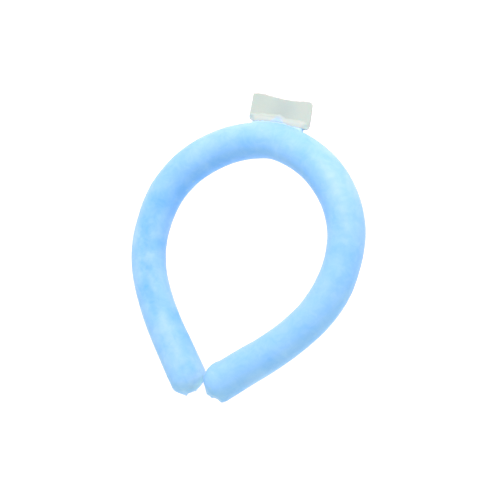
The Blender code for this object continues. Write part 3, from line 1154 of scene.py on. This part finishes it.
# %% The satin film's finish
DEEP_BLUE = (0.118, 0.408, 0.890)
MILKY_BLUE = (0.362, 0.617, 0.925)
BARE_FILM = (0.350, 0.590, 0.740)
# painted light: the paler blue for the touching ends, and for the neck, partly
PALE_AND_PAINTED_LIGHT_BLUE = (0.560, 0.900, 0.980)
# clouds are scale, detail, roughness, distortion
WIDE_CLOUDS = (34.0, 2.0, 0.55, 0.6)
WIDE_DEPTH = 0.10
CLOSE_CLOUDS = (150.0, 5.0, 0.65, 1.2)
CLOSE_DEPTH = 0.09
MIDDLE_SHARE = 0.50
# a shake is the noise's scale and how far it moves a place
BLOT_SHAKE = (160.0, 0.011)
HAZE_SHAKE = (260.0, 0.006)
ENDS = ((-0.0035, -0.0895, 0.013), (0.0135, -0.0905, 0.012))
END_HAZE_REACH = 0.014
END_HAZE = 0.55
# painted light where the two ends touch
TOUCH = (-0.0002, -0.0858, 0.0110)
TOUCH_REACH = 0.0085
TOUCH_PAINTED_LIGHT = 0.95
# the neck's paleness, partly painted light over the shade in its fold
NECK_PALENESS_AND_PAINTED_LIGHT = 0.7
# clouds, lowest and highest roughness
FILM_ROUGHNESS = ((300.0, 3.0), 0.42, 0.54)
# clouds, height of the grain and its strength
FILM_GRAIN = ((900.0, 4.0, 0.6), 0.0002, 0.25)
FILM_SETTINGS = {
    "Specular IOR Level": 0.3,
    "Coat Weight": 0.15,
    "Coat Roughness": 0.5,
    "Subsurface Weight": 0.5,
    "Subsurface Radius": (0.5, 0.8, 1.0),
    "Subsurface Scale": 0.005,
}


def read_layer(tree, name):
    return add_node(tree, "ShaderNodeAttribute", attribute_name=name).outputs["Fac"]


def dress_film():
    material, tree, shader = new_finish("satin_film")
    wide = drift(tree, WIDE_CLOUDS, -WIDE_DEPTH, WIDE_DEPTH)
    close = drift(tree, CLOSE_CLOUDS, -CLOSE_DEPTH, CLOSE_DEPTH)
    # the deeper blue includes painted shade on the tube's inner sides, and the haze includes painted light
    # on the arms' outer sides and between the ends
    depth_and_painted_light = blots_and_painted_light(tree, shaken_places(tree, *BLOT_SHAKE))
    share = calculate(tree, "SUBTRACT", total(tree, [wide, close]), depth_and_painted_light)
    share = calculate(tree, "ADD", share, MIDDLE_SHARE)
    share.node.use_clamp = True
    colour = blend_colours(tree, share, DEEP_BLUE, MILKY_BLUE)
    places = shaken_places(tree, *HAZE_SHAKE)
    bare = [nearness(tree, places, end, END_HAZE_REACH, END_HAZE) for end in ENDS]
    bare.append(read_layer(tree, "grey"))
    bare_share = total(tree, bare)
    bare_share.node.use_clamp = True
    colour = blend_colours(tree, bare_share, colour, BARE_FILM)
    # painted light: the film is made paler where the two ends touch, and up the neck, where it is partly
    # painted light and partly the thin neck's own paleness
    pale = [nearness(tree, places, TOUCH, TOUCH_REACH, TOUCH_PAINTED_LIGHT)]
    pale.append(calculate(tree, "MULTIPLY", read_layer(tree, "pale"), NECK_PALENESS_AND_PAINTED_LIGHT))
    paleness_and_painted_light = total(tree, pale)
    paleness_and_painted_light.node.use_clamp = True
    colour = blend_colours(tree, paleness_and_painted_light, colour, PALE_AND_PAINTED_LIGHT_BLUE)
    tree.links.new(colour, shader.inputs["Base Color"])
    tree.links.new(drift(tree, *FILM_ROUGHNESS), shader.inputs["Roughness"])
    add_bump(tree, shader, *FILM_GRAIN)
    set_shader(shader, FILM_SETTINGS)
    film.data.materials.append(material)
    return material


film_finish = dress_film()
print("film finish has", len(film_finish.node_tree.nodes), "nodes")

# %% [markdown]
# The gel is cloudy and almost matt. It only shows if the film is taken off, but it has its own colour and
# clouds.

# %% The gel's finish
GEL_CLOUDS = (60.0, 4.0, 0.6, 1.0)
GEL_ROUGHNESS = ((200.0,), 0.35, 0.6)
GEL_GRAIN = ((250.0, 3.0), 0.0004, 0.3)
GEL_SETTINGS = {"Subsurface Weight": 0.4, "Subsurface Scale": 0.006}


def dress_gel():
    material, tree, shader = new_finish("milky_gel")
    colour = blend_colours(tree, drift(tree, GEL_CLOUDS, 0.0, 1.0), DEEP_BLUE, MILKY_BLUE)
    tree.links.new(colour, shader.inputs["Base Color"])
    tree.links.new(drift(tree, *GEL_ROUGHNESS), shader.inputs["Roughness"])
    add_bump(tree, shader, *GEL_GRAIN)
    set_shader(shader, GEL_SETTINGS)
    gel.data.materials.append(material)
    return material


gel_finish = dress_gel()
print("gel finish has", len(gel_finish.node_tree.nodes), "nodes")

# %% [markdown]
# The flap holds no gel, so it shows the film's own colour: a pale grey-green, frosted, cooler in its middle
# and whiter along the weld, with the blue peak of gel in it. The weld and the gel could be separate pieces,
# but on the real flap they lie inside one welded sheet, so the finish takes both from the values on the
# flap's corners.

# %% The flap's finish
FLAP_GREY = (0.372, 0.509, 0.463)
FLAP_COOL = (0.327, 0.463, 0.441)
FLAP_PALE = (0.393, 0.539, 0.501)
GEL_IN_WELD = (0.300, 0.540, 0.880)
COOL_SPOT = (0.002, 0.090, flap_middle)
COOL_REACH = 0.014
COOL_SHAKE = (300.0, 0.004)
FLAP_ROUGHNESS = ((400.0,), 0.40, 0.55)
FLAP_GRAIN = ((700.0, 4.0), 0.0002, 0.3)
FLAP_SETTINGS = {"Specular IOR Level": 0.35, "Subsurface Weight": 0.3, "Subsurface Scale": 0.002}


def dress_flap():
    material, tree, shader = new_finish("clear_film")
    cool = nearness(tree, shaken_places(tree, *COOL_SHAKE), COOL_SPOT, COOL_REACH, 1.0)
    colour = blend_colours(tree, cool, FLAP_GREY, FLAP_COOL)
    for name, tone in (("weld", FLAP_PALE), ("gel", GEL_IN_WELD)):
        colour = blend_colours(tree, read_layer(tree, name), colour, tone)
    tree.links.new(colour, shader.inputs["Base Color"])
    tree.links.new(drift(tree, *FLAP_ROUGHNESS), shader.inputs["Roughness"])
    add_bump(tree, shader, *FLAP_GRAIN)
    set_shader(shader, FLAP_SETTINGS)
    flap.data.materials.append(material)
    return material


flap_finish = dress_flap()
print("flap finish has", len(flap_finish.node_tree.nodes), "nodes")

# %% [markdown]
# The floor is a plain pale sheet that glows a little. A trace of grain keeps it from being a single flat
# colour.

# %% The floor's finish
FLOOR_DARK = (0.60, 0.61, 0.62)
FLOOR_LIGHT = (0.66, 0.66, 0.66)
FLOOR_CLOUDS = (40.0, 3.0)
FLOOR_SETTINGS = {"Roughness": 0.8, "Emission Color": (1, 1, 1, 1), "Emission Strength": FLOOR_GLOW}


def dress_floor():
    material, tree, shader = new_finish("pale_floor")
    colour = blend_colours(tree, cloud(tree, *FLOOR_CLOUDS), FLOOR_DARK, FLOOR_LIGHT)
    tree.links.new(colour, shader.inputs["Base Color"])
    set_shader(shader, FLOOR_SETTINGS)
    floor.data.materials.append(material)
    return material


floor_finish = dress_floor()
print("floor finish has", len(floor_finish.node_tree.nodes), "nodes")
